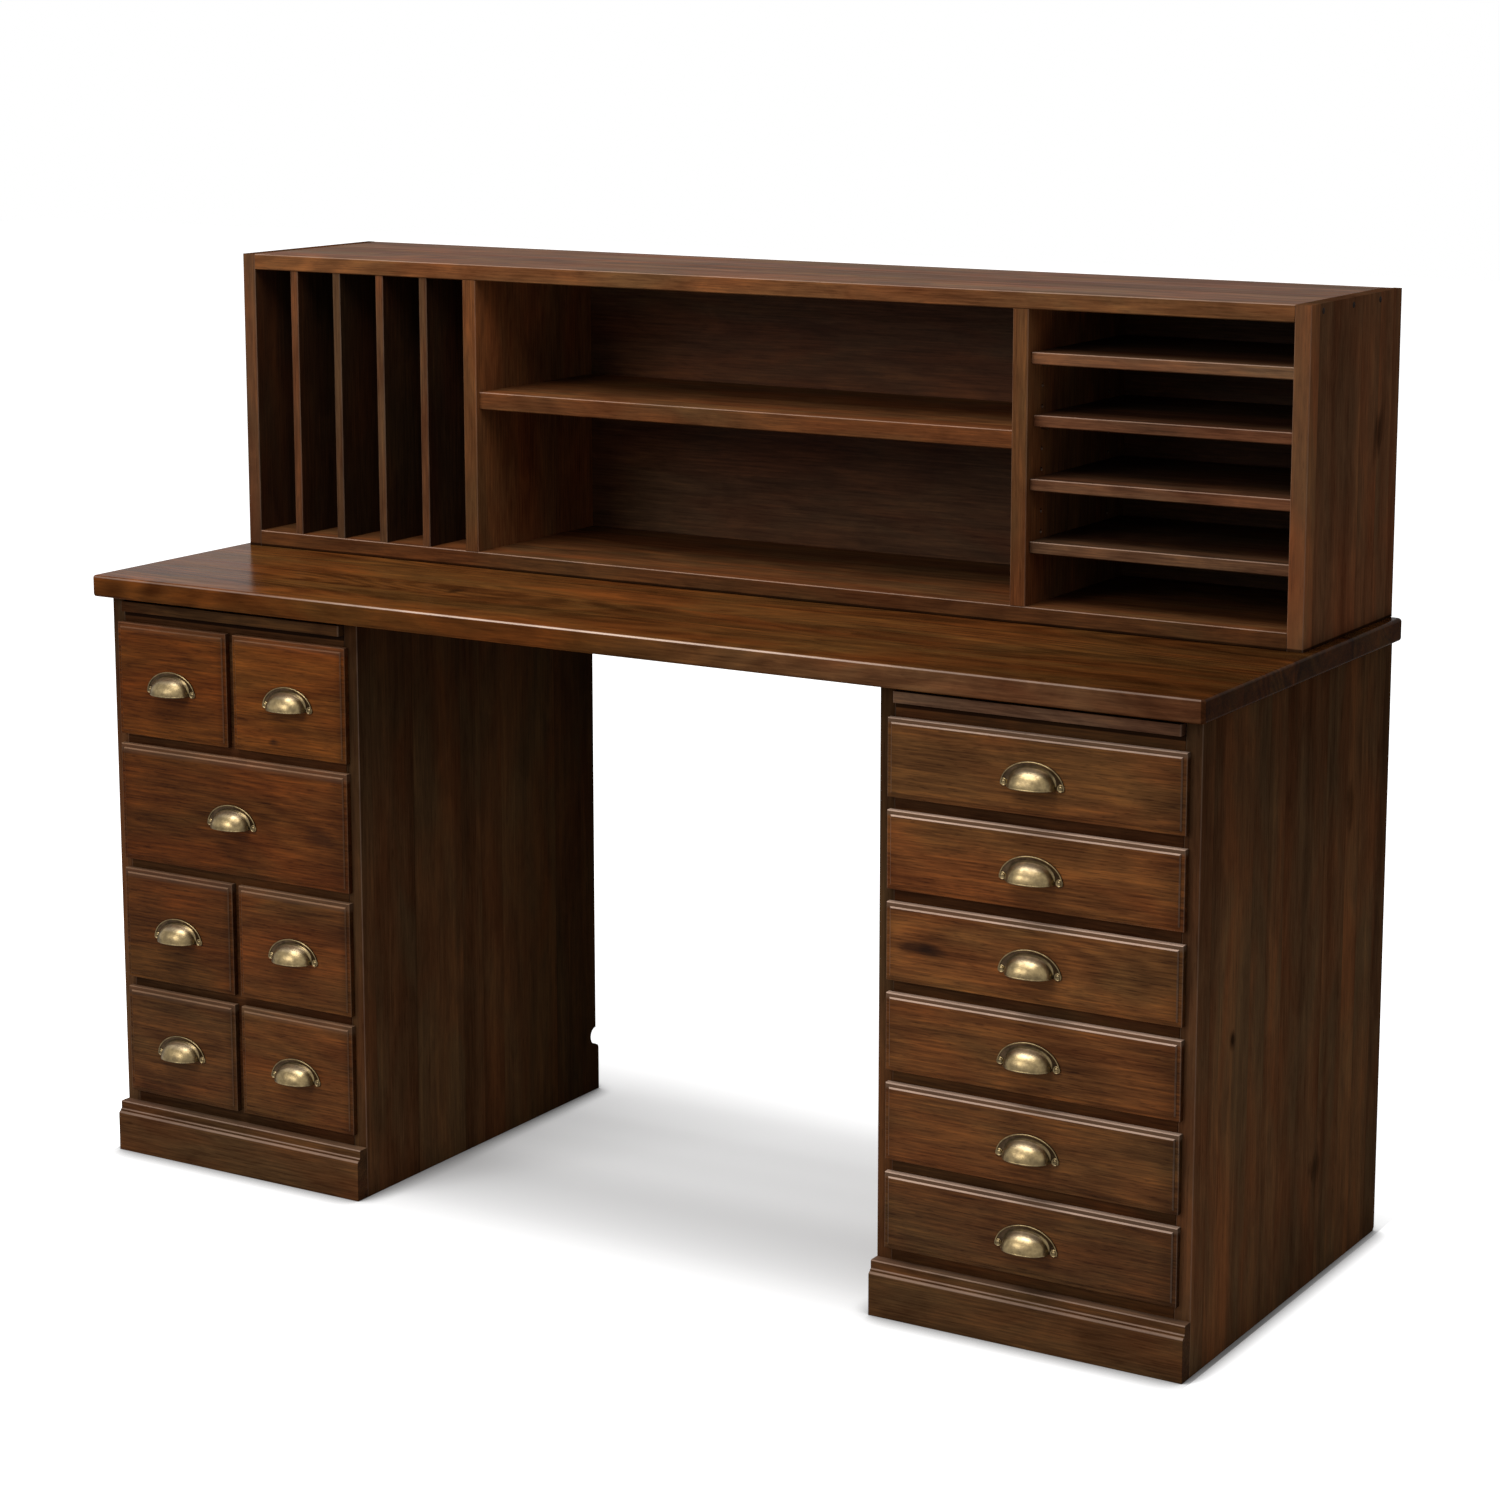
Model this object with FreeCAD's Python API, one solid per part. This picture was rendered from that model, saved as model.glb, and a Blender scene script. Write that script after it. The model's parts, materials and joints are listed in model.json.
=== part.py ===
import FreeCAD
import Part
import math
import os

# A double-pedestal writing desk in solid wood with a pigeonhole hutch on its top.
# Millimetres. X runs to the right seen from the front, Y to the rear, Z up.
# The origin lies on the floor, under the middle of the whole desk, pulls included.

# Desk as a whole
desk_width = 1540.0
desk_depth = 572.0
desk_height = 762.0
top_thickness = 27.5
top_edge_radius = 4.0
top_corner_chamfer = 4.0
front_overhang = 26.0
side_overhang = 12.0
rear_overhang = 1.0

# Pedestals
pedestal_width = 391.5
side_thickness = 20.0
side_edge_radius = 1.5
inner_side_setback = 30.0
foot_chamfer = 4.0
back_thickness = 6.0
rail_depth = 45.0
runner_width = 42.0
bottom_rail_height = 27.0
muntin_depth = 20.0
guide_height = 12.0

# Cord notch and heel on the rear edge of each inner side
notch_radius = 12.0
notch_height = 77.0
heel_reach = 7.0
heel_height = 64.0
heel_radius = 6.5

# Plinth board across the front of each pedestal
plinth_height = 64.5
plinth_step_thickness = 14.2
plinth_step_height = 11.0
plinth_top_chamfer = 1.2
plinth_cove = 2.0
plinth_quirk = 1.7
plinth_round = 3.5

# Drawer fronts, which lip over the rails and sides around their openings
front_lip = 10.0
lip_cover = 6.0
lip_clearance = 0.3
side_reveal = 14.0
row_gap = 14.8
left_row_gap = 12.8
pair_gap = 10.5
bottom_reveal = 15.5
left_top_reveal = 14.6
right_top_reveal = 17.6
front_inner_thickness = 10.0
front_moulding_radius = 1.2
front_field_inset = 4.8
front_field_rise = 2.0
front_field_chamfer = 1.5

# Rows of drawers from the lowest up: how many stand side by side, and the row's share of the height
left_rows_and_shares = ((2, 0.242), (2, 0.249), (1, 0.260), (2, 0.249))
right_rows_and_shares = ((1, 1 / 6),) * 6

# Drawer boxes
drawer_side_clearance = 1.5
drawer_top_clearance = 3.0
sliding_clearance = 0.3
drawer_side_thickness = 12.0
drawer_bottom_thickness = 5.0
drawer_bottom_height = 9.0
drawer_groove_depth = 5.0
drawer_travel = 380.0
drawer_hold = 104.0
dovetail_lap = 7.0
dovetail_pitch = 44.0
dovetail_root_share = 0.42
dovetail_tip_share = 0.62

# Cup pulls
pull_half_width = 39.0
pull_arch_height = 28.5
pull_plate_thickness = 1.4
pull_rim_width = 2.4
pull_rim_rise = 1.0
pull_dome_half_width = 28.5
pull_dome_radius = 22.5
pull_wall = 1.6
pull_ear_radius = 4.6
pull_ear_inset = 4.4
pull_ear_height = 2.5
pull_base_drop = 12.5
pull_screw_radius = 2.6
pull_screw_height = 1.4
pull_around_steps = 9
pull_sweep_steps = 4
pull_hollow_steps = 3
pull_ear_sides = 6
pull_screw_sides = 6

# Pull-out writing slides over the drawers
slide_thickness = 13.0
slide_headroom = 5.5
slide_lip = 10.0
slide_side_clearance = 1.0
slide_corner_radius = 2.5
slide_travel = 350.0
slide_hold = 144.0
slide_stop_width = 40.0
slide_stop_depth = 20.0
slide_stop_height = 8.0
slide_stop_clearance = 1.0
kicker_width = 25.0
kicker_setback = 30.0

# Hutch
hutch_height = 390.0
hutch_depth = 273.0
hutch_inset = 14.0
hutch_board = 20.0
hutch_bottom_thickness = 21.0
hutch_back_thickness = 6.0
hutch_back_setback = 3.0
hutch_rabbet = 10.0
hutch_ease = 1.0
left_bay_width = 337.0
right_bay_width = 329.0
divider_count = 4
divider_thickness = 12.0
divider_groove = 5.0
divider_setback = 1.5
centre_shelf_thickness = 22.0
centre_shelf_setback = 7.0
centre_shelf_share = 0.527
tray_thickness = 14.0
tray_setback = 8.0
tray_setback_shares = (1.1, 1.0, 2.0, 1.0)
tray_end_clearance = 1.0
tray_rear_gap = 4.0
pin_radius = 2.5
pin_sides = 6
pin_fit_clearance = 0.05
pin_depth = 10.0
pin_reach = 8.0
pin_front_inset = 39.0
pin_rear_inset = 45.0
first_pin_share = 0.171
pin_pitch_share = 0.0708
pin_row_count = 10
pin_rows_per_tray = 3

# One overrun for every cut
overrun = 1.0

# Places that follow from the sizes. The hold is the length that stays in the desk at full travel.
drawer_length = drawer_travel + drawer_hold
slide_length = slide_travel + slide_hold
plinth_thickness = plinth_step_thickness + plinth_cove + plinth_round
pull_reach = front_lip + pull_dome_radius - front_overhang
front_reach = max(pull_reach, plinth_thickness - front_overhang, 0)
desk_front = (front_reach - desk_depth) / 2
desk_rear = desk_front + desk_depth
under_top = desk_height - top_thickness
pedestal_front = desk_front + front_overhang
pedestal_rear = desk_rear - rear_overhang
inner_rear = pedestal_rear - inner_side_setback
back_face = inner_rear - back_thickness
slide_top = under_top - slide_headroom
slide_bottom = slide_top - slide_thickness
frame_top = slide_bottom - sliding_clearance
face_plane = pedestal_front - front_lip
stack_bottom = plinth_height + bottom_reveal
left_pedestal_x = side_overhang - desk_width / 2
right_pedestal_x = desk_width / 2 - side_overhang - pedestal_width
hutch_left = hutch_inset - desk_width / 2
hutch_right = -hutch_left
hutch_front = desk_rear - hutch_depth
hutch_back_face = desk_rear - hutch_back_setback - hutch_back_thickness
hutch_floor = desk_height + hutch_bottom_thickness
hutch_ceiling = desk_height + hutch_height - hutch_board
hutch_clear = hutch_ceiling - hutch_floor
left_bay_x = hutch_left + hutch_board
right_bay_x = hutch_right - hutch_board - right_bay_width
pin_pitch = hutch_clear * pin_pitch_share
tray_pin_rows = range(0, pin_row_count, pin_rows_per_tray)

nodes = {}


def vector(x, y, z):
    return FreeCAD.Vector(x, y, z)


def block(x0, x1, y0, y1, z0, z1):
    return Part.makeBox(x1 - x0, y1 - y0, z1 - z0, vector(x0, y0, z0))


def prism_along_x(outline, x0, x1):
    """A solid from an outline of (y, z) points, or of ready edges in the plane x0."""
    if isinstance(outline[0], tuple):
        corners = [vector(x0, y, z) for y, z in outline]
        wire = Part.makePolygon(corners + corners[:1])
    else:
        wire = Part.Wire(outline)
    return Part.Face(wire).extrude(vector(x1 - x0, 0, 0))


def line_yz(x, start, end):
    return Part.makeLine(vector(x, *start), vector(x, *end))


def arc_yz(x, start, middle, end):
    return Part.Arc(vector(x, *start), vector(x, *middle), vector(x, *end)).toShape()


def round_point(centre, radius, degrees):
    """The (y, z) point of a circle at an angle from +Y towards +Z."""
    angle = math.radians(degrees)
    return (centre[0] + radius * math.cos(angle), centre[1] + radius * math.sin(angle))


def edges_where(shape, test):
    """The edges whose two ends both pass a test on their point."""
    return [edge for edge in shape.Edges if all(test(vertex.Point) for vertex in edge.Vertexes)]


def near(a, b):
    return math.isclose(a, b, abs_tol=1e-6)


def upright(edges):
    """Those of the edges that run along Z."""
    ends = [(edge, edge.Vertexes[0].Point, edge.Vertexes[1].Point) for edge in edges]
    return [edge for edge, start, end in ends if near(start.x, end.x) and near(start.y, end.y)]


def fused(first, *others):
    return first.fuse(list(others)).removeSplitter()


def regular_prism(centre, axis, radius, sides, length):
    """A prism with flat sides around a circle of the radius, flats square to Z."""
    side = axis.cross(vector(0, 0, 1))
    reach = radius / math.cos(math.pi / sides)
    turns = [2 * math.pi * (i + 0.5) / sides for i in range(sides)]
    ring = [centre + side * (reach * math.sin(turn)) + vector(0, 0, reach * math.cos(turn))
            for turn in turns]
    return Part.Face(Part.makePolygon(ring + ring[:1])).extrude(axis * length)


def eased(board, front):
    """The board with the two long edges of its front broken by a small chamfer."""
    edges = edges_where(board, lambda p: near(p.y, front))
    longest = max(edge.Length for edge in edges)
    return board.makeChamfer(hutch_ease, [edge for edge in edges if near(edge.Length, longest)])


def pedestal_side(x0, inner):
    """A side panel, floor to desktop. An inner one ends further forward and has the cord notch with
    the heel below it."""
    rear, top = inner_rear if inner else pedestal_rear, under_top
    if inner:
        notch = (rear, notch_height)
        heel = rear + heel_reach
        bend = (heel - heel_radius, heel_height - heel_radius)
        edges = [
            line_yz(x0, (pedestal_front, 0), (heel, 0)),
            line_yz(x0, (heel, 0), (heel, bend[1])),
            arc_yz(x0, (heel, bend[1]), round_point(bend, heel_radius, 45), (bend[0], heel_height)),
            line_yz(x0, (bend[0], heel_height), (rear, heel_height)),
            line_yz(x0, (rear, heel_height), (rear, notch_height - notch_radius)),
            arc_yz(x0, (rear, notch_height - notch_radius), round_point(notch, notch_radius, 180),
                   (rear, notch_height + notch_radius)),
            line_yz(x0, (rear, notch_height + notch_radius), (rear, top)),
            line_yz(x0, (rear, top), (pedestal_front, top)),
            line_yz(x0, (pedestal_front, top), (pedestal_front, 0)),
        ]
        side = prism_along_x(edges, x0, x0 + side_thickness)
    else:
        side = prism_along_x([(pedestal_front, 0), (rear - foot_chamfer, 0), (rear, foot_chamfer),
                              (rear, top), (pedestal_front, top)], x0, x0 + side_thickness)
    front_edges = edges_where(side, lambda p: near(p.y, pedestal_front))
    return side.makeFillet(side_edge_radius, upright(front_edges))


def plinth(x0):
    """The plinth board: a thick foot, a quarter round, a quirk, and a thinner step over a cove."""
    outer = pedestal_front - plinth_thickness
    step = pedestal_front - plinth_step_thickness
    ledge = step - plinth_cove
    shoulder = plinth_height - plinth_step_height
    round_centre = (ledge, shoulder - plinth_quirk - plinth_round)
    cove_centre = (ledge, shoulder + plinth_cove)
    edges = [
        line_yz(x0, (pedestal_front, 0), (outer, 0)),
        line_yz(x0, (outer, 0), (outer, round_centre[1])),
        arc_yz(x0, (outer, round_centre[1]), round_point(round_centre, plinth_round, 135),
               (ledge, shoulder - plinth_quirk)),
        line_yz(x0, (ledge, shoulder - plinth_quirk), (ledge, shoulder)),
        arc_yz(x0, (ledge, shoulder), round_point(cove_centre, plinth_cove, 315), (step, cove_centre[1])),
        line_yz(x0, (step, cove_centre[1]), (step, plinth_height - plinth_top_chamfer)),
        line_yz(x0, (step, plinth_height - plinth_top_chamfer), (step + plinth_top_chamfer, plinth_height)),
        line_yz(x0, (step + plinth_top_chamfer, plinth_height), (pedestal_front, plinth_height)),
        line_yz(x0, (pedestal_front, plinth_height), (pedestal_front, 0)),
    ]
    return prism_along_x(edges, x0, x0 + pedestal_width)


def drawer_rows(rows_and_shares, top_reveal, gap):
    """The rows as (count, low, high) of their fronts, from the lowest up."""
    free = slide_bottom - top_reveal - stack_bottom - gap * (len(rows_and_shares) - 1)
    low = stack_bottom
    rows = []
    for count, share in rows_and_shares:
        high = low + free * share
        rows.append((count, low, high))
        low = high + gap
    return rows


def drawer_frame(x0, x1, z0, z1, paired):
    """One web frame between the sides: front and rear rails, side runners and, under a pair, a
    centre runner with the guide strip that keeps the two drawers apart."""
    middle = (x0 + x1) / 2
    front = pedestal_front + rail_depth
    rear = back_face - rail_depth
    solids = [
        block(x0, x1, pedestal_front, front, z0, z1),
        block(x0, x1, rear, back_face, z0, z1),
        block(x0, x0 + runner_width, front, rear, z0, z1),
        block(x1 - runner_width, x1, front, rear, z0, z1),
    ]
    if paired:
        half = (pair_gap + 2 * lip_cover) / 2
        solids.append(block(middle - runner_width / 2, middle + runner_width / 2, front, rear, z0, z1))
        solids.append(block(middle - half, middle + half, pedestal_front + muntin_depth, back_face,
                            z1, z1 + guide_height))
    return solids


def pedestal_frames(pedestal_x, rows):
    """Every web frame, the muntins between paired drawers and the kickers over the writing slide."""
    x0 = pedestal_x + side_thickness
    x1 = pedestal_x + pedestal_width - side_thickness
    middle = (x0 + x1) / 2
    half = (pair_gap + 2 * lip_cover) / 2
    solids = []
    low = stack_bottom + lip_cover - bottom_rail_height
    for count, front_low, front_high in rows:
        floor = front_low + lip_cover
        ceiling = front_high - lip_cover
        solids += drawer_frame(x0, x1, low, floor, count == 2)
        if count == 2:
            solids.append(block(middle - half, middle + half, pedestal_front,
                                pedestal_front + muntin_depth, floor, ceiling))
        low = ceiling
    solids += drawer_frame(x0, x1, low, frame_top, False)
    for left in (x0, x1 - kicker_width):
        solids.append(block(left, left + kicker_width, pedestal_front + kicker_setback, back_face,
                            slide_top + sliding_clearance, under_top))
    return solids


def dovetails(x0, x1, z0, z1):
    """The tails on the front end of a drawer side: narrow at the root, wide at the tip."""
    root = pedestal_front + front_inner_thickness
    tip = root - dovetail_lap
    count = max(2, round((z1 - z0) / dovetail_pitch))
    pitch = (z1 - z0) / count
    tails = []
    for index in range(count):
        middle = z0 + pitch * (index + 0.5)
        narrow = pitch * dovetail_root_share / 2
        wide = pitch * dovetail_tip_share / 2
        tails.append(prism_along_x([(root, middle - narrow), (root, middle + narrow),
                                    (tip, middle + wide), (tip, middle - wide)], x0, x1))
    return tails


def moulding_section(low, high, back, place):
    """The closed section of a drawer front between two of its edges: a quarter round, a ledge and
    a raised field with bevelled ends. The function place turns a distance and a Y into a point."""
    radius = front_moulding_radius
    ledge = face_plane + front_field_rise
    middle = radius * (1 - math.sqrt(0.5))
    corners = [(radius, ledge), (front_field_inset, ledge),
               (front_field_inset, face_plane + front_field_chamfer),
               (front_field_inset + front_field_chamfer, face_plane)]
    line = [place(low + distance, y) for distance, y in corners]
    line += [place(high - distance, y) for distance, y in reversed(corners)]
    first = place(low, ledge + radius)
    last = place(high, ledge + radius)
    edges = [Part.makeLine(place(low, back), first),
             Part.Arc(first, place(low + middle, ledge + middle), line[0]).toShape()]
    edges += [Part.makeLine(start, end) for start, end in zip(line, line[1:])]
    edges += [Part.Arc(line[-1], place(high - middle, ledge + middle), last).toShape(),
              Part.makeLine(last, place(high, back)),
              Part.makeLine(place(high, back), place(low, back))]
    return Part.Wire(edges)


def moulded_slab(x0, x1, z0, z1, back):
    """One section run along X and one along Z. What they share is moulded all round, with mitres."""
    section_z = moulding_section(z0, z1, back, lambda z, y: vector(x0, y, z))
    section_x = moulding_section(x0, x1, back, lambda x, y: vector(x, y, z0))
    along_x = Part.Face(section_z).extrude(vector(x1 - x0, 0, 0))
    along_z = Part.Face(section_x).extrude(vector(0, 0, z1 - z0))
    return along_x.common(along_z)


def drawer_front(x0, x1, z0, z1, tails, groove):
    """A lipped front: a moulded slab over the opening, and an inner part that fits in it."""
    slab = moulded_slab(x0, x1, z0, z1, pedestal_front - lip_clearance)
    inset = lip_cover + drawer_side_clearance
    inner = block(x0 + inset, x1 - inset, face_plane + front_field_rise + front_moulding_radius,
                  pedestal_front + front_inner_thickness,
                  z0 + lip_cover + sliding_clearance, z1 - lip_cover - drawer_top_clearance)
    return fused(slab, inner).cut(tails + [groove])


def drawer_box(x0, x1, z0, z1):
    """Two grooved sides with their dovetails, a back between them and a bottom in the grooves."""
    front = pedestal_front + front_inner_thickness
    rear = front + drawer_length
    left = x0 + drawer_side_thickness
    right = x1 - drawer_side_thickness
    floor = z0 + drawer_bottom_height
    groove = block(left - drawer_groove_depth, right + drawer_groove_depth, front - drawer_groove_depth,
                   rear, floor, floor + drawer_bottom_thickness)
    tails = {}
    sides = []
    for a, b in ((x0, left), (right, x1)):
        tails[a] = dovetails(a, b, z0, z1)
        side = fused(block(a, b, front, rear, z0, z1), *tails[a])
        sides.append(side.cut(groove))
    back = block(left, right, rear - drawer_side_thickness, rear, floor + drawer_bottom_thickness, z1)
    bottom = groove
    return sides + [back, bottom], tails[x0] + tails[right], groove


def arch_points(half_width, height, y):
    """Points of half an ellipse from right to left over its base line."""
    turns = [math.pi * i / pull_around_steps for i in range(pull_around_steps + 1)]
    return [vector(half_width * math.cos(turn), y, height * math.sin(turn)) for turn in turns]


def arch_plate(half_width, height, y0, y1):
    outline = arch_points(half_width, height, y0)
    return Part.Face(Part.makePolygon(outline + outline[:1])).extrude(vector(0, y1 - y0, 0))


def quarter_dome(half_width, radius, sweep):
    """A closed quarter of an ellipsoid, from straight up to straight forward, in flat facets."""
    around = pull_around_steps
    grid = []
    for point in arch_points(half_width, radius, 0):
        turns = [math.pi / 2 * j / sweep for j in range(sweep + 1)]
        grid.append([vector(point.x, -point.z * math.sin(turn), point.z * math.cos(turn))
                     for turn in turns])
    faces = []
    for i in range(around):
        for j in range(sweep):
            ring = [grid[i][j], grid[i + 1][j], grid[i + 1][j + 1], grid[i][j + 1]]
            if i == 0:
                ring = [grid[0][0], grid[1][j], grid[1][j + 1]]
            if i == around - 1:
                ring = [grid[i][j], grid[around][0], grid[i][j + 1]]
            faces.append(Part.Face(Part.makePolygon(ring + ring[:1])))
    for j in (0, sweep):
        outline = [grid[0][0]] + [grid[i][j] for i in range(1, around)] + [grid[around][0]]
        faces.append(Part.Face(Part.makePolygon(outline + outline[:1])))
    return Part.Solid(Part.Shell(faces))


def make_pull():
    """The cup pull at the origin, its back on the plane y = 0 and its base line at z = 0."""
    front = -pull_plate_thickness
    rim_front = front - pull_rim_rise
    forward = vector(0, -1, 0)
    plate = arch_plate(pull_half_width, pull_arch_height, 0, front)
    rim = arch_plate(pull_half_width, pull_arch_height, 0, rim_front)
    rim = rim.cut(arch_plate(pull_half_width - pull_rim_width, pull_arch_height - pull_rim_width,
                             overrun, rim_front - overrun))
    inner_half_width = pull_dome_half_width - pull_wall
    inner_radius = pull_dome_radius - pull_wall
    hollow = quarter_dome(inner_half_width, inner_radius, pull_hollow_steps)
    opening = arch_plate(inner_half_width, inner_radius, overrun, front)
    screw_x = pull_half_width - pull_ear_inset
    places = [vector(x, 0, pull_ear_height) for x in (-screw_x, screw_x)]
    ears = [regular_prism(place, forward, pull_ear_radius, pull_ear_sides, pull_plate_thickness)
            for place in places]
    dome = quarter_dome(pull_dome_half_width, pull_dome_radius, pull_sweep_steps)
    cup = fused(plate, rim, dome, *ears)
    screws = [regular_prism(place + forward * pull_plate_thickness, forward, pull_screw_radius,
                            pull_screw_sides, pull_screw_height) for place in places]
    return [cup.cut([hollow, opening])] + screws


def add_drawer(name, x0, x1, z0, z1):
    """The three nodes of one drawer whose front spans x0..x1 and z0..z1."""
    inset = lip_cover + drawer_side_clearance
    box, tails, groove = drawer_box(x0 + inset, x1 - inset, z0 + lip_cover + sliding_clearance,
                                    z1 - lip_cover - drawer_top_clearance)
    nodes[name + "_front"] = [drawer_front(x0, x1, z0, z1, tails, groove)]
    nodes[name + "_box"] = box
    place = vector((x0 + x1) / 2, face_plane, (z0 + z1) / 2 - pull_base_drop)
    nodes[name + "_pull"] = [solid.translated(place) for solid in pull_solids]


def writing_slide(pedestal_x):
    """A board with rounded front corners and a stop block under it, behind the front rail."""
    x0 = pedestal_x + side_thickness + slide_side_clearance
    x1 = pedestal_x + pedestal_width - side_thickness - slide_side_clearance
    front = pedestal_front - slide_lip
    board = block(x0, x1, front, pedestal_front + slide_length, slide_bottom, slide_top)
    corners = upright(edges_where(board, lambda p: near(p.y, front)))
    board = board.makeFillet(slide_corner_radius, corners)
    middle = (x0 + x1) / 2
    stop_front = pedestal_front + rail_depth + slide_travel + slide_stop_clearance
    stop = block(middle - slide_stop_width / 2, middle + slide_stop_width / 2, stop_front,
                 stop_front + slide_stop_depth, slide_bottom - slide_stop_height, slide_bottom)
    return [board, stop]


def pin_rows():
    first = hutch_floor + hutch_clear * first_pin_share
    return [first + pin_pitch * row for row in range(pin_row_count)]


def pin_columns():
    return (hutch_front + pin_front_inset, hutch_back_face - pin_rear_inset)


def shelf_pin_at(x, y, z, direction, radius, length):
    return regular_prism(vector(x, y, z), vector(direction, 0, 0), radius, pin_sides, length)


def pin_holes(x, direction):
    """Blind holes for the shelf pins, bored from the face x into the wood along the direction."""
    radius = pin_radius + pin_fit_clearance
    return [shelf_pin_at(x, y, z, direction, radius, pin_depth)
            for z in pin_rows() for y in pin_columns()]


def hutch_side(x0, rabbet_x, holes):
    """A hutch side with a rabbet along its rear inner edge for the back."""
    side = eased(block(x0, x0 + hutch_board, hutch_front, desk_rear,
                       desk_height, desk_height + hutch_height), hutch_front)
    rabbet = block(rabbet_x, rabbet_x + hutch_rabbet, hutch_back_face, desk_rear + overrun,
                   desk_height - overrun, desk_height + hutch_height + overrun)
    return side.cut([rabbet] + holes)


def divider_places():
    """The left face of each mail divider, evenly spaced over the left bay."""
    slot = (left_bay_width - divider_count * divider_thickness) / (divider_count + 1)
    return [left_bay_x + slot * (index + 1) + divider_thickness * index for index in range(divider_count)]


def mail_dividers():
    front = hutch_front + divider_setback
    return [eased(block(x, x + divider_thickness, front, hutch_back_face,
                        hutch_floor - divider_groove, hutch_ceiling + divider_groove), front)
            for x in divider_places()]


def tray_shelves():
    """Loose shelves on four pins each. One of them sits further back than the others."""
    x0 = right_bay_x + tray_end_clearance
    x1 = hutch_right - hutch_board - tray_end_clearance
    depth = hutch_back_face - hutch_front - tray_rear_gap - tray_setback * max(tray_setback_shares)
    shelves = []
    for row, share in zip(tray_pin_rows, tray_setback_shares):
        bottom = pin_rows()[row] + pin_radius
        front = hutch_front + tray_setback * share
        shelves.append(eased(block(x0, x1, front, front + depth, bottom, bottom + tray_thickness), front))
    return shelves


def shelf_pins():
    pins = []
    for row in tray_pin_rows:
        for y in pin_columns():
            for x, direction in ((right_bay_x, -1), (hutch_right - hutch_board, 1)):
                start = x - direction * pin_reach
                pins.append(shelf_pin_at(start, y, pin_rows()[row], direction, pin_radius,
                                         pin_reach + pin_depth))
    return pins


def top_rims(top):
    """All edges around the upper and the lower face of the desktop."""
    return [edge for height in (desk_height, under_top)
            for edge in edges_where(top, lambda p: near(p.z, height))]


def add_desk_frame():
    """The desktop and the two pedestals without what moves in them."""
    top = block(-desk_width / 2, desk_width / 2, desk_front, desk_rear, under_top, desk_height)
    top = top.makeChamfer(top_corner_chamfer, upright(top.Edges))
    nodes["desktop"] = [top.makeFillet(top_edge_radius, top_rims(top))]
    inner = pedestal_width - side_thickness
    nodes["left_pedestal_outer_side"] = [pedestal_side(left_pedestal_x, False)]
    nodes["left_pedestal_inner_side"] = [pedestal_side(left_pedestal_x + inner, True)]
    nodes["right_pedestal_inner_side"] = [pedestal_side(right_pedestal_x, True)]
    nodes["right_pedestal_outer_side"] = [pedestal_side(right_pedestal_x + inner, False)]
    nodes["pedestal_backs"] = [block(x + side_thickness, x + inner, back_face, inner_rear,
                                     stack_bottom + lip_cover - bottom_rail_height, under_top)
                               for x in (left_pedestal_x, right_pedestal_x)]
    nodes["pedestal_plinths"] = [plinth(x) for x in (left_pedestal_x, right_pedestal_x)]


def add_pedestal_contents(side, pedestal_x, rows):
    """The web frames, the writing slide and the drawers, numbered from the top left."""
    nodes[side + "_drawer_frames"] = pedestal_frames(pedestal_x, rows)
    nodes[side + "_writing_slide"] = writing_slide(pedestal_x)
    x0 = pedestal_x + side_reveal
    x1 = pedestal_x + pedestal_width - side_reveal
    number = 1
    for count, low, high in reversed(rows):
        width = (x1 - x0 - pair_gap * (count - 1)) / count
        for place in range(count):
            left = x0 + place * (width + pair_gap)
            add_drawer(f"{side}_drawer_{number}", left, left + width, low, high)
            number += 1


def add_hutch():
    right_face = hutch_right - hutch_board
    nodes["hutch_left_side"] = [hutch_side(hutch_left, left_bay_x - hutch_rabbet, [])]
    nodes["hutch_right_side"] = [hutch_side(right_face, right_face, pin_holes(right_face, 1))]
    grooves = mail_dividers()
    top = eased(block(left_bay_x, right_face, hutch_front, hutch_back_face,
                      hutch_ceiling, desk_height + hutch_height), hutch_front)
    bottom = eased(block(left_bay_x, right_face, hutch_front, hutch_back_face,
                         desk_height, hutch_floor), hutch_front)
    nodes["hutch_top"] = [top.cut(grooves)]
    nodes["hutch_bottom"] = [bottom.cut(grooves)]
    nodes["mail_dividers"] = grooves
    nodes["hutch_back"] = [block(left_bay_x - hutch_rabbet, right_face + hutch_rabbet, hutch_back_face,
                                 hutch_back_face + hutch_back_thickness, desk_height,
                                 desk_height + hutch_height)]
    left_partition_x = left_bay_x + left_bay_width
    left_partition, right_partition = [
        eased(block(x, x + hutch_board, hutch_front, hutch_back_face, hutch_floor, hutch_ceiling),
              hutch_front)
        for x in (left_partition_x, right_bay_x - hutch_board)]
    nodes["hutch_partitions"] = [left_partition, right_partition.cut(pin_holes(right_bay_x, -1))]
    shelf_bottom = hutch_floor + hutch_clear * centre_shelf_share
    shelf_front = hutch_front + centre_shelf_setback
    nodes["centre_shelf"] = [eased(block(left_partition_x + hutch_board, right_bay_x - hutch_board,
                                         shelf_front, hutch_back_face,
                                         shelf_bottom, shelf_bottom + centre_shelf_thickness), shelf_front)]
    nodes["tray_shelves"] = tray_shelves()
    nodes["shelf_pins"] = shelf_pins()


pull_solids = make_pull()
left_rows = drawer_rows(left_rows_and_shares, left_top_reveal, left_row_gap)
right_rows = drawer_rows(right_rows_and_shares, right_top_reveal, row_gap)
add_desk_frame()
add_pedestal_contents("left", left_pedestal_x, left_rows)
add_pedestal_contents("right", right_pedestal_x, right_rows)
add_hutch()

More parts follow.
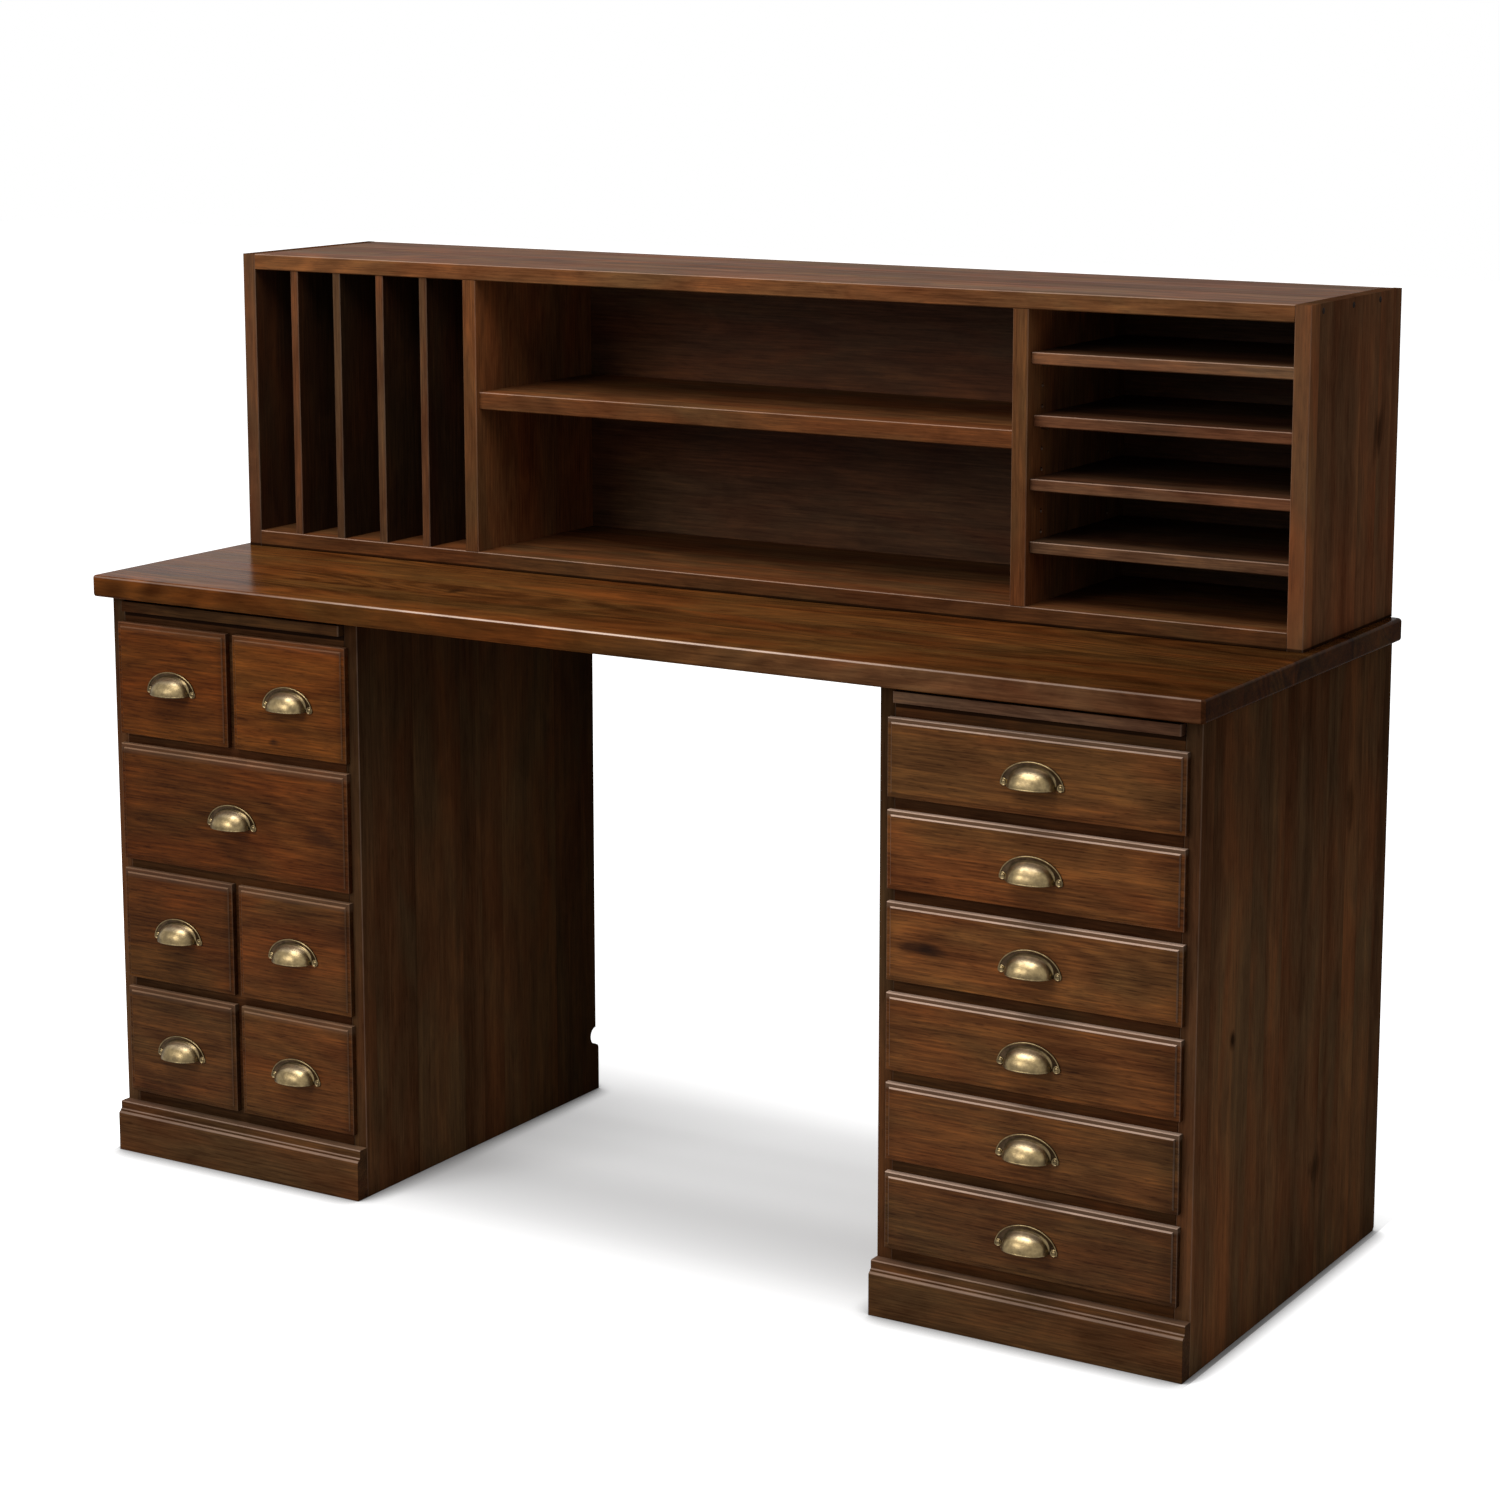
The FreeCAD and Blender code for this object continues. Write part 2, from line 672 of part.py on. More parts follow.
os.makedirs("parts", exist_ok=True)
for node_name, solids in nodes.items():
    shape = solids[0] if len(solids) == 1 else Part.makeCompound(solids)
    shape.exportStep(f"parts/{node_name}.step")
print(len(nodes), "nodes,", sum(len(solids) for solids in nodes.values()), "solids")
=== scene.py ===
import json
import math

import bmesh
import bpy
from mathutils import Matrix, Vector

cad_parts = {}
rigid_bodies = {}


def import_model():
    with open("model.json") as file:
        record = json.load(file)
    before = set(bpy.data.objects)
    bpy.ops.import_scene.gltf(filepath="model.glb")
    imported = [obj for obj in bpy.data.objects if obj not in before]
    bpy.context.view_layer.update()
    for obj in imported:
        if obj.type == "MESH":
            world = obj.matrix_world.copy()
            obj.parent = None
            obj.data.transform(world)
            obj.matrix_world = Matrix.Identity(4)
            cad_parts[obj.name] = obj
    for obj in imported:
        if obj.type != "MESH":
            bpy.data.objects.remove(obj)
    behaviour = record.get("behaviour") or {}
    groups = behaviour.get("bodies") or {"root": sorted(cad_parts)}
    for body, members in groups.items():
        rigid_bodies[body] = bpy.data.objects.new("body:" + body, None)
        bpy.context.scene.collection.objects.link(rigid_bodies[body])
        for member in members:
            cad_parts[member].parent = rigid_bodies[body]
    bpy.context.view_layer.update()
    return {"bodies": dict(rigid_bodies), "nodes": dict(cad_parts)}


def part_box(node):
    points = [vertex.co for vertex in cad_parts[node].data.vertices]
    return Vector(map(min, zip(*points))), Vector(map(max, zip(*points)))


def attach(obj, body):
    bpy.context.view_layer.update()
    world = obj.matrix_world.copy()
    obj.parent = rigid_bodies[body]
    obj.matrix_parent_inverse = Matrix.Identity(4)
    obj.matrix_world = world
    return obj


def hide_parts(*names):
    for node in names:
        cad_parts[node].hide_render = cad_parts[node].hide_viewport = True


# The looks of a dark-stained pedestal desk with brass cup pulls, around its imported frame.
# Metres, in the frame's own axes: X to the right, Y to the rear, Z up.

MM = 0.001
RIGHT = Vector((1, 0, 0))
REAR = Vector((0, 1, 0))
UP = Vector((0, 0, 1))
WHITE = (1, 1, 1, 1)

# Camera, fitted to the corners of the desk in the photograph
CAMERA_PLACE = (2.2325, -3.5990, 1.4934)
CAMERA_TURN = (80.134, 0.029, 31.343)
CAMERA_LENS = 83.97
CAMERA_SENSOR = 36.0
CAMERA_SHIFT_Y = -0.1
CAMERA_CLIP_END = 100.0

# Area lights, as name, place, width and depth, and watts. All of them point at one place.
LIGHT_TARGET = (0.0, 0.0, 0.6)
LIGHTS = (("overhead", (-0.3, -1.3, 3.3), (2.4, 1.6), 85),
          ("front_left", (-1.8, -4.2, 2.6), (2.2, 1.6), 70))
WORLD_LIGHT = 0.30

# Floor. Its glow to the camera is weaker between the pedestals, by (y, strength) pairs, a painted
# shadow, and where something stands close to it, by (open share, strength) pairs, a painted contact
# shadow. Contact shade darkens its colour there too, also painted shade.
FLOOR_HALF_WIDTH = 14.0
FLOOR_DROP = 0.2 * MM
FLOOR_COLOUR = (0.80, 0.80, 0.80, 1)
KNEE_HALF_WIDTH = 0.765
KNEE_SHADOW_GLOW = ((-0.42, 1.0), (-0.31, 0.46), (-0.22, 0.12), (-0.10, 0.05), (-0.01, 0.21),
             (0.08, 0.31), (0.17, 0.41), (0.28, 0.63), (0.42, 1.0))
CONTACT_REACH = 0.045
CONTACT_SHADOW_GLOW = ((0.48, 0.0), (0.88, 1.0))
CONTACT_SHADE = ((0.45, 0.45), (0.90, 1.0))

# Mean colours of the stained wood, where light falls square on it
FRONT_STAIN = (0.110, 0.0385, 0.0105)
SIDE_STAIN = (0.104, 0.0480, 0.0215)
# A darker copy of the side stain: painted shade in the knee hole
INNER_SIDE_SHADED_STAIN = (0.070, 0.0320, 0.0135)
TOP_STAIN = (0.101, 0.0358, 0.0087)
PLINTH_STAIN = (0.073, 0.0310, 0.0116)
HUTCH_STAIN = (0.105, 0.0420, 0.0155)
HUTCH_SIDE_STAIN = (0.088, 0.0365, 0.0168)
HUTCH_BACK_STAIN = (0.092, 0.0400, 0.0190)
BACK_STAIN = (0.060, 0.0270, 0.0140)
INNER_STAIN = (0.060, 0.0240, 0.0100)
FRAME_STAIN = (0.050, 0.0200, 0.0075)
# A paler, greyer copy of the frame stain for the right slide: a painted highlight
SLIDE_HIGHLIGHT_STAIN = (0.132, 0.0700, 0.0400)
PLUG_STAIN = (0.014, 0.0065, 0.0035)

# Colours of the painted highlights on edges and along the drawer fronts' top lips, and of knots
EDGE_HIGHLIGHT = (0.52, 0.36, 0.27, 1)
EDGE_HIGHLIGHT_WARM = (0.36, 0.215, 0.130, 1)
EDGE_HIGHLIGHT_PALE = (0.60, 0.45, 0.36, 1)
LIP_HIGHLIGHT_COLOUR = (0.105, 0.0640, 0.0400, 1)
KNOT_COLOUR = (0.006, 0.003, 0.002, 1)

# The wood's figure: how the noise of each layer is scaled along the grain, across it and in depth,
# and its detail, roughness and distortion
FIGURES = {
    "bands": ((0.9, 20.0, 20.0), 2.0, 0.50, 0.40),
    "streaks": ((2.4, 110.0, 110.0), 3.0, 0.60, 0.25),
    "mottle": ((9.0, 30.0, 30.0), 4.0, 0.62, 0.80),
    "fibres": ((16.0, 430.0, 430.0), 3.0, 0.62, 0.0),
    "veins": ((1.1, 34.0, 34.0), 2.0, 0.45, 0.50),
    "vein_places": ((3.0, 9.0, 9.0), 1.0, 0.50, 0.0),
    "rings": ((1.3, 8.0, 8.0), 1.0, 0.40, 0.20),
    "ring_places": ((2.0, 5.0, 5.0), 1.0, 0.50, 0.0),
    "pores": ((60.0, 700.0, 700.0), 1.0, 0.50, 0.0),
    "tint": ((4.0, 13.0, 13.0), 3.0, 0.55, 0.50)}
NOISE_MEAN = 0.5
FIGURE_CONTRAST = 1.9
VEIN_LINE = ((0.455, 0.0), (0.50, 1.0), (0.545, 0.0))
VEIN_PLACES = ((0.40, 0.0), (0.60, 1.0))
RING_TURNS = 120.0
RING_PLACES = ((0.40, 0.15), (0.60, 1.0))
PORE_SIZES = ((0.30, 1.0), (0.40, 0.0))
PORE_DEPTH = 0.3

# The weights of the layers, where a piece doesn't have its own
WEIGHTS = {"bands": 0.5, "streaks": 0.2, "mottle": 0.3, "fibres": 0.4, "veins": 0.0, "rings": 0.0,
           "pores": 0.3}

# The figure's value gives a share of the stain, and a slower noise tints it
STAIN_SHARES = ((0.05, (0.22, 0.20, 0.22)), (0.34, (0.62, 0.58, 0.58)), (0.54, (1, 1, 1)),
                (0.95, (2.2, 2.05, 1.7)))
TINTS = ((0.36, (1.10, 0.92, 0.84)), (0.64, (0.92, 1.06, 1.10)))

# Each material has a seed, which moves it along the endless grain
SEED_STEP = 1.618
FIRST_FRONT_SEED = 51
FRONT_SEED_STEP = 3

# Staves: how their width varies, how far the grain jumps, their own tone and the seams' shade
STAVE_WAVE = 1.7
STAVE_UNEVENNESS = 0.42
STAVE_JUMP = 9.7
STAVE_TONE = 0.05
STAVE_TONE_BY_BANDS = 0.25
SEAM_SHADE = ((0.0, 0.80), (0.014, 1.0))

# Knots: cells along the grain, across it and in depth, and the strength by the distance from one.
# Marks: the share of their half size that is at full strength. Ragged is how far the mottle bends
# the outlines of both.
KNOT_CELLS = (3.0, 9.0, 2.0)
KNOT_CORE = ((0.02, 0.80), (0.09, 0.35), (0.20, 0.0))
KNOT_RAGGED = 0.35
MARK_CORE = 0.25
MARK_RAGGED = 2.2

# A face is square to an axis where this much of its normal points along it
SQUARE_FACE = (0.6, 0.9)

# Panels: painted shade towards both ends, and the share of the height where a painted highlight
# lies
PANEL_ENDS = ((0.0, 0.80), (0.05, 1.0), (0.90, 1.0), (0.985, 0.68))
LIP_HIGHLIGHT_START, LIP_HIGHLIGHT_FULL = 0.915, 0.950

# Painted highlights on a wood's edges, where a piece doesn't have its own: how much on slopes, on
# flat tops and on upright corners, the share of that on end grain, (place, share) pairs along the
# grain, and the colour. The band is the normal's upward part where the slopes' highlight starts,
# where it is full, where it ends, and where that of a flat top is reached.
EDGE_HIGHLIGHTS = {"slope": 0.5, "top": 0.0, "corner": 0.1, "ends": 1.0, "places": (), "colour": EDGE_HIGHLIGHT,
        "band": (0.20, 0.50, 0.90, 0.985)}
CORNER_TURN = (0.15, 0.40)
END_TURN = (0.20, 0.50)
HIGHLIGHT_PATCHES = ((0.30, 0.60), (0.60, 1.0))

# The wood's gloss follows its streaks, and its relief follows its fibres
GLOSS_RANGE = (0.3, 0.7)
EASED_EDGE = 0.6 * MM
FIBRE_DEPTH = 0.25 * MM
FIBRE_STRENGTH = 0.10

# Each drawer front is cut from its own board: the shares of the front stain's red, green and blue
FRONT_TONES = {
    "left_drawer_1": (0.76, 0.64, 0.42), "left_drawer_2": (0.92, 0.80, 0.52),
    "left_drawer_3": (0.60, 0.55, 0.44), "left_drawer_4": (0.62, 0.59, 0.54),
    "left_drawer_5": (0.74, 0.73, 0.70), "left_drawer_6": (0.66, 0.72, 0.80),
    "left_drawer_7": (0.79, 0.85, 0.86), "right_drawer_1": (0.94, 0.96, 0.98),
    "right_drawer_2": (1.02, 1.04, 1.04), "right_drawer_3": (1.05, 1.14, 1.20),
    "right_drawer_4": (0.96, 1.00, 1.06), "right_drawer_5": (0.84, 0.94, 1.08),
    "right_drawer_6": (0.66, 0.76, 0.95)}

# Painted highlights on the fronts' lips where they slope and where they lie flat, and along their
# top
FRONT_HIGHLIGHTS = {"left_drawer_1": (0.22, 0.17, 0.15), "left_drawer_2": (0.25, 0.19, 0.15),
              "left": (0.38, 0.30, 0.32), "right": (0.85, 0.70, 0.65)}
FRONT_CORNER_HIGHLIGHT = 0.12

# Dark marks, as the place along and across the grain, half their length and width, and a strength
MARKS = {
    "left_drawer_2_front": ((-0.4930, 0.5740, 0.013, 0.010, 0.75),),
    "left_drawer_3_front": ((-0.4220, 0.4580, 0.026, 0.016, 0.35),),
    "right_drawer_2_front": ((0.4590, 0.5570, 0.032, 0.007, 0.30),),
    "right_drawer_3_front": ((0.4180, 0.4400, 0.024, 0.0080, 0.62),
                             (0.4400, 0.4385, 0.018, 0.0060, 0.55)),
    "right_pedestal_outer_side": ((0.3590, -0.1610, 0.014, 0.010, 0.85),
                                  (0.1390, 0.0880, 0.024, 0.022, 0.55),
                                  (0.5600, 0.1700, 0.030, 0.014, 0.45)),
    "hutch_right_side": ((0.9890, 0.2260, 0.036, 0.016, 0.60),),
    "desktop": ((-0.3020, -0.1460, 0.014, 0.024, 0.75),)}

# The painted highlight on the desktop's long edges, from its left end to its right end
DESKTOP_HIGHLIGHT = ((-0.77, 0.20), (-0.45, 0.30), (-0.22, 0.95), (0.10, 1.0), (0.28, 0.80),
                  (0.42, 0.40), (0.77, 0.22))
DESKTOP_BAND = (0.28, 0.43, 0.70, 0.85)

# The desktop's front edge is paler to the right: where that starts and ends, and the tone there
DESKTOP_FRONT_TONE = (-0.02, 0.57, (2.20, 2.75, 4.9))

# The share of the stain that the hutch's ends keep on their wide faces: painted shade on the left
# end and painted light on the right one
HUTCH_SIDE_LIT_AND_SHADED_SHARES = {"left": 0.5, "right": 1.45}

# Fades, as an axis, a start, an end and the share that is left there. Those under the hutch and
# the slides are painted shadow lines below them, and those of the sides are painted shade under
# the desktop and towards the knee hole's rear.
DESKTOP_FADE = ("X", 0.30, 0.78, 0.55)
SIDE_SHADE_UNDER_DESKTOP = ("Z", 0.40, 0.74, 0.62)
INNER_SIDE_REAR_SHADE = ("Y", 0.0, 0.26, 0.38)
SLIDE_FADE = ("X", 0.58, 0.74, 0.66)
SHADOW_UNDER_HUTCH = ("Z", 0.7662, 0.7646, 0.22)
SHADOW_UNDER_SLIDES = ("Z", 0.7086, 0.7098, 0.22)
FRONT_FADES = {"left_drawer_3": (("X", -0.70, -0.42, 1.35),)}

# Aged brass: brown in its crevices, bright where it is rubbed, with a painted highlight where that
# faces up, and with clouds and specks in its tone
BRASS_BROWN = (0.080, 0.052, 0.031, 1)
BRASS_BRIGHT = (0.256, 0.193, 0.101, 1)
BRASS_HIGHLIGHT = (0.66, 0.53, 0.36, 1)
CREVICE_REACH = 1.6 * MM
CREVICE_SHARES = ((0.20, 0.0), (0.60, 1.0))
HIGHLIGHT_TURN = ((0.66, 0.0), (0.97, 0.85))
HIGHLIGHT_FROM = 0.95
CLOUD_SCALE = 105.0
CLOUD_TONES = ((0.36, (0.66, 0.65, 0.66)), (0.62, (1.14, 1.13, 1.10)))
CLOUD_ROUGHNESS = ((0.30, 0.38), (0.70, 0.30))
SPECK_SCALE = 320.0
SPECK_TONES = ((0.30, (0.84, 0.82, 0.78)), (0.72, (1.10, 1.10, 1.08)))
SPECK_DEPTH = 0.15 * MM
SPECK_STRENGTH = 0.05

# Cup pull: an arch plate with a bead and an ear at each end, a dome and two slotted screws
PLATE_HALF_WIDTH = 39.0 * MM
PLATE_HEIGHT = 28.5 * MM
PLATE_THICKNESS = 1.4 * MM
BEAD_RADIUS = 0.8 * MM
DOME_HALF_WIDTH = 28.5 * MM
DOME_RADIUS = 22.3 * MM
DOME_WALL = 1.3 * MM
DOME_SQUARENESS = 2.35
DOME_FLARE_SHARE = 0.09
DOME_FLARE_TURN = 0.13
LIP_RADIUS = 0.9 * MM
LIP_RISE = 0.4
EAR_RADIUS = 4.6 * MM
EAR_INSET = 4.4 * MM
EAR_HEIGHT = 2.5 * MM
SCREW_RADIUS = 2.6 * MM
SCREW_RISE = 1.1 * MM
SCREW_SLOT = 0.6 * MM
SCREW_STEPS = 12
SHARP_ANGLE = 50

# A bead that runs this much along Y takes its first side from elsewhere than Y
NEARLY_ALONG_Y = 0.9

# Plugs in the hutch's sides
PLUG_PLACES = (0.050, 0.140, 0.2215)
PLUG_HEIGHT = 1.1435
PLUG_RADIUS = 3.6 * MM
PLUG_RISE = 0.15 * MM
PLUG_SIDES = 20
HUTCH_SIDE_FACE = 0.756

# Levels of the turned forms, as shares of their radius and of the plate's thickness or their rise
EAR_LEVELS = ((1.0, 0.0), (1.0, 1.0), (0.84, 1.45), (0.66, 1.0))
SCREW_LEVELS = ((1.0, 0.0), (1.0, 0.35), (0.80, 0.85), (0.35, 1.0))
PLUG_LEVELS = ((1.0, 0.0), (1.0, 1.0), (0.7, 1.3))

# How rubbed the pull's details are, and the dome where it meets the plate, and how that grows
DETAIL_RUBBED = 0.9
DOME_RUBBED = 0.45
DOME_RUBBED_GROWTH = 5.0


class Graph:
    """A short way to add nodes to a material or a world: inputs are values or other sockets."""

    def __init__(self, owner):
        owner.use_nodes = True
        self.tree = owner.node_tree
        self.tree.nodes.clear()

    def feed(self, socket, value):
        if isinstance(value, bpy.types.NodeSocket):
            self.tree.links.new(value, socket)
        else:
            socket.default_value = value

    def add(self, kind, inputs=None, output=0, **settings):
        """A new node's output, or the node itself where it has none."""
        node = self.tree.nodes.new("ShaderNode" + kind)
        for name, value in settings.items():
            setattr(node, name, value)
        for key, value in (inputs or {}).items():
            self.feed(node.inputs[key], value)
        return node.outputs[output] if node.outputs else node

    def math(self, operation, a, b=0.0):
        return self.add("Math", {0: a, 1: b}, operation=operation)

    def product(self, a, b):
        return self.math("MULTIPLY", a, b)

    def centred(self, noise, weight):
        """A noise about zero, times its weight."""
        return self.product(self.math("SUBTRACT", noise, NOISE_MEAN), weight)

    def split(self, vector):
        """The parts of a vector by their axes."""
        return dict(zip("XYZ", self.add("SeparateXYZ", {0: vector}).node.outputs))

    def span(self, value, first, last, low=0.0, high=1.0, **settings):
        """Low where the value is at first and high where it is at last."""
        return self.add("MapRange", {0: value, 1: first, 2: last, 3: low, 4: high}, **settings)

    def ramp(self, factor, stops, interpolation="LINEAR"):
        """Stops are (place, colour) pairs, and a colour has three numbers or is one grey value."""
        node = self.tree.nodes.new("ShaderNodeValToRGB")
        node.color_ramp.interpolation = interpolation
        elements = node.color_ramp.elements
        while len(elements) < len(stops):
            elements.new(0.5)
        for element, (place, colour) in zip(elements, stops):
            element.position = place
            grey = isinstance(colour, (int, float))
            element.color = (colour,) * 3 + (1,) if grey else tuple(colour) + (1,)
        self.tree.links.new(factor, node.inputs[0])
        return node.outputs[0]

    def profile(self, value, points, interpolation="LINEAR"):
        """A ramp over (value, level) points of any range."""
        first, last = points[0][0], points[-1][0]
        stops = [((place - first) / (last - first), level) for place, level in points]
        return self.ramp(self.span(value, first, last), stops, interpolation)

    def noise(self, vector, scale, detail=2.0, roughness=0.5, distortion=0.0):
        return self.add("TexNoise", {"Vector": vector, "Scale": scale, "Detail": detail,
                                     "Roughness": roughness, "Distortion": distortion})

    def mix(self, factor, a, b, blend="MIX"):
        """Mixes colours, whose sockets come after those for other kinds of data on the node."""
        node = self.tree.nodes.new("ShaderNodeMix")
        node.data_type = "RGBA"
        node.blend_type = blend
        for index, value in ((0, factor), (6, a), (7, b)):
            self.feed(node.inputs[index], value)
        return node.outputs[2]


class Wood(Graph):
    """The nodes of stained wood whose grain runs along one axis. They build up one colour."""

    def __init__(self, material, along, across, seed):
        super().__init__(material)
        coordinates = self.add("TexCoord").node
        self.place = self.split(coordinates.outputs["Object"])
        self.facing = self.split(coordinates.outputs["Normal"])
        self.own_box = coordinates.outputs["Generated"]
        self.along = along
        self.across = self.place[across]
        self.depth = self.place[({"X", "Y", "Z"} - {along, across}).pop()]
        self.shift = seed * SEED_STEP
        self.grain = self.math("ADD", self.place[along], self.shift)
        self.layers = {}
        self.colour = None

    def stretched(self, scales):
        """The place along the grain, across it and in depth, each times its own scale."""
        places = (self.grain, self.across, self.depth)
        return self.add("CombineXYZ", dict(enumerate(map(self.product, places, scales))))

    def figure(self, name):
        scales, detail, roughness, distortion = FIGURES[name]
        return self.noise(self.stretched(scales), 1.0, detail, roughness, distortion)

    def multiply(self, share):
        self.colour = self.mix(1.0, self.colour, share, "MULTIPLY")

    def cover(self, factor, colour):
        self.colour = self.mix(factor, self.colour, colour)

    def staves(self, width):
        """Boards of uneven width, each with a grain of its own. Gives a random number for each
        board and the shade of the seams."""
        steps = self.product(self.across, 1 / width)
        wave = self.math("SINE", self.math("ADD", self.product(steps, STAVE_WAVE), self.shift))
        wavy = self.math("ADD", steps, self.product(wave, STAVE_UNEVENNESS))
        board = self.math("ADD", self.math("FLOOR", wavy), self.shift)
        random = self.add("TexWhiteNoise", {"W": board}, noise_dimensions="1D")
        inside = self.math("FRACT", wavy)
        edge = self.math("MINIMUM", inside, self.math("SUBTRACT", 1.0, inside))
        self.grain = self.math("ADD", self.grain, self.product(random, STAVE_JUMP))
        return random, self.ramp(edge, SEAM_SHADE)

    def veins(self):
        """Thin lines where a slow noise passes its mean, in some places only."""
        line = self.ramp(self.figure("veins"), VEIN_LINE)
        strength = self.ramp(self.figure("vein_places"), VEIN_PLACES)
        return self.math("ADD", self.product(line, strength), NOISE_MEAN)

    def rings(self):
        """Fine growth rings, stronger in some places than in others."""
        wave = self.math("SINE", self.product(self.figure("rings"), RING_TURNS))
        strength = self.ramp(self.figure("ring_places"), RING_PLACES)
        return self.math("ADD", self.product(wave, strength), NOISE_MEAN)

    def lay_stain(self, stain, weights, random):
        """The stain by the value of the figure, which adds up its layers. Random is that of the
        staves, or None."""
        for name in ("bands", "streaks", "mottle", "fibres"):
            self.layers[name] = self.figure(name)
        if weights["veins"]:
            self.layers["veins"] = self.veins()
        if weights["rings"]:
            self.layers["rings"] = self.rings()
        value = NOISE_MEAN
        for name, layer in self.layers.items():
            value = self.math("ADD", self.centred(layer, FIGURE_CONTRAST * weights[name]), value)
        if random is not None:
            tone = STAVE_TONE_BY_BANDS * weights["bands"] + STAVE_TONE
            value = self.math("ADD", value, self.centred(random, tone))
        pores = self.ramp(self.figure("pores"), PORE_SIZES)
        value = self.math("SUBTRACT", value, self.product(pores, PORE_DEPTH * weights["pores"]))
        self.colour = self.ramp(value, [(level, shaded(stain, shares))
                                        for level, shares in STAIN_SHARES])
        self.multiply(self.ramp(self.figure("tint"), TINTS))

    def add_knots(self, share, marks):
        """Small knots in a share of the cells, and marks at their own places."""
        ragged = self.math("SUBTRACT", self.layers["mottle"], NOISE_MEAN)
        if share:
            cells = self.add("TexVoronoi", {"Vector": self.stretched(KNOT_CELLS), "Scale": 1.0})
            rare = self.add("SeparateColor", {0: cells.node.outputs["Color"]})
            chosen = self.math("LESS_THAN", rare, share)
            far = self.math("ADD", cells, self.product(ragged, KNOT_RAGGED))
            self.cover(self.product(self.ramp(far, KNOT_CORE), chosen), KNOT_COLOUR)
        for middle, line, half_length, half_width, strength in marks:
            far_along = self.product(self.math("SUBTRACT", self.place[self.along], middle),
                                     1 / half_length)
            far_across = self.product(self.math("SUBTRACT", self.across, line), 1 / half_width)
            far = self.math("SQRT", self.math("ADD", self.math("POWER", far_along, 2.0),
                                              self.math("POWER", far_across, 2.0)))
            ragged_far = self.math("ADD", far, self.product(ragged, MARK_RAGGED))
            self.cover(self.ramp(ragged_far, ((MARK_CORE, strength), (1.0, 0.0))), KNOT_COLOUR)

    def square(self, axis, low=0.0, high=1.0):
        """High on the faces that are square to an axis, and low on the others."""
        return self.span(self.math("ABSOLUTE", self.facing[axis]), *SQUARE_FACE, low, high)

    def tone_front(self, first, last, tone):
        """A tone for the faces to the front, which grows between two places along X."""
        strength = self.product(self.span(self.place["X"], first, last), self.square("Y"))
        self.multiply(self.mix(strength, WHITE, tone + (1,)))

    def fade(self, axis, first, last, share):
        self.multiply(self.span(self.place[axis], first, last, 1.0, share,
                                interpolation_type="SMOOTHSTEP"))

    def add_end_shade_and_lip_highlight(self, strength):
        """A painted highlight along a panel's top edge, and painted shade at its two ends."""
        own = self.split(self.own_box)
        self.multiply(self.ramp(own["X"], PANEL_ENDS, "EASE"))
        self.cover(self.ramp(own["Z"], ((LIP_HIGHLIGHT_START, 0.0), (LIP_HIGHLIGHT_FULL, strength))), LIP_HIGHLIGHT_COLOUR)

    def paint_edge_highlights(self, slope, top, corner, ends, places, colour, band):
        """Painted highlights on the edges that face up and on upright corners, in the terms of the
        table of edge highlights.
        """
        upward = self.ramp(self.facing["Z"], list(zip(band, (0.0, slope, slope, top))))
        diagonal = self.math("ABSOLUTE", self.product(self.facing["X"], self.facing["Y"]))
        sideward = self.ramp(diagonal, list(zip(CORNER_TURN, (0.0, corner))))
        highlight_mask = self.product(self.math("MAXIMUM", upward, sideward),
                            self.ramp(self.layers["mottle"], HIGHLIGHT_PATCHES))
        if ends < 1.0:
            endward = self.math("ABSOLUTE", self.facing[self.along])
            highlight_mask = self.product(highlight_mask, self.ramp(endward, list(zip(END_TURN, (1.0, ends)))))
        if places:
            highlight_mask = self.product(highlight_mask, self.profile(self.place[self.along], places))
        self.cover(highlight_mask, colour)

    def add_shader(self, gloss, roughness):
        smooth, rough = roughness
        streaked = self.ramp(self.layers["streaks"], list(zip(GLOSS_RANGE, (rough, smooth))))
        eased = self.add("Bevel", {"Radius": EASED_EDGE}, samples=4)
        bumped = self.add("Bump", {"Strength": FIBRE_STRENGTH, "Distance": FIBRE_DEPTH,
                                   "Height": self.layers["fibres"], "Normal": eased})
        shader = self.add("BsdfPrincipled", {"Base Color": self.colour, "Roughness": streaked,
                                             "Normal": bumped, "Specular IOR Level": gloss})
        self.add("OutputMaterial", {0: shader})


def shaded(colour, shares):
    return tuple(part * share for part, share in zip(colour, shares))


def wood(name, along, across, seed, stain, stave=0.0, weights=None, knots=0.0, marks=(),
         end_share=0.75, shares=None, front_tone=None, fades=(), lip_highlight=None, highlights=None,
         gloss=0.01, roughness=(0.36, 0.50)):
    """Stained wood with its grain along one axis and its width across another. Stave is the mean
    width of the boards glued side by side, and weights are those of the figure's layers. Knots is
    the share of places with a knot. End grain has end_share of the colour, and the faces square to
    an axis have that axis's share. Roughness is that of the smoothest and the roughest streak."""
    material = bpy.data.materials.new(name)
    graph = Wood(material, along, across, seed)
    random, seams = graph.staves(stave) if stave else (None, None)
    graph.lay_stain(stain, WEIGHTS | (weights or {}), random)
    graph.add_knots(knots, marks)
    if seams is not None:
        graph.multiply(seams)
    for axis, share in ({along: end_share} | (shares or {})).items():
        graph.multiply(graph.square(axis, 1.0, share))
    if front_tone:
        graph.tone_front(*front_tone)
    # Some fades are painted shade and painted shadow lines
    for fade in fades:
        graph.fade(*fade)
    # Painted shade at a front's ends and a painted highlight along its top
    if lip_highlight is not None:
        graph.add_end_shade_and_lip_highlight(lip_highlight)
    # Painted highlights on edges that face up and on upright corners
    graph.paint_edge_highlights(**(EDGE_HIGHLIGHTS | (highlights or {})))
    graph.add_shader(gloss, roughness)
    return material


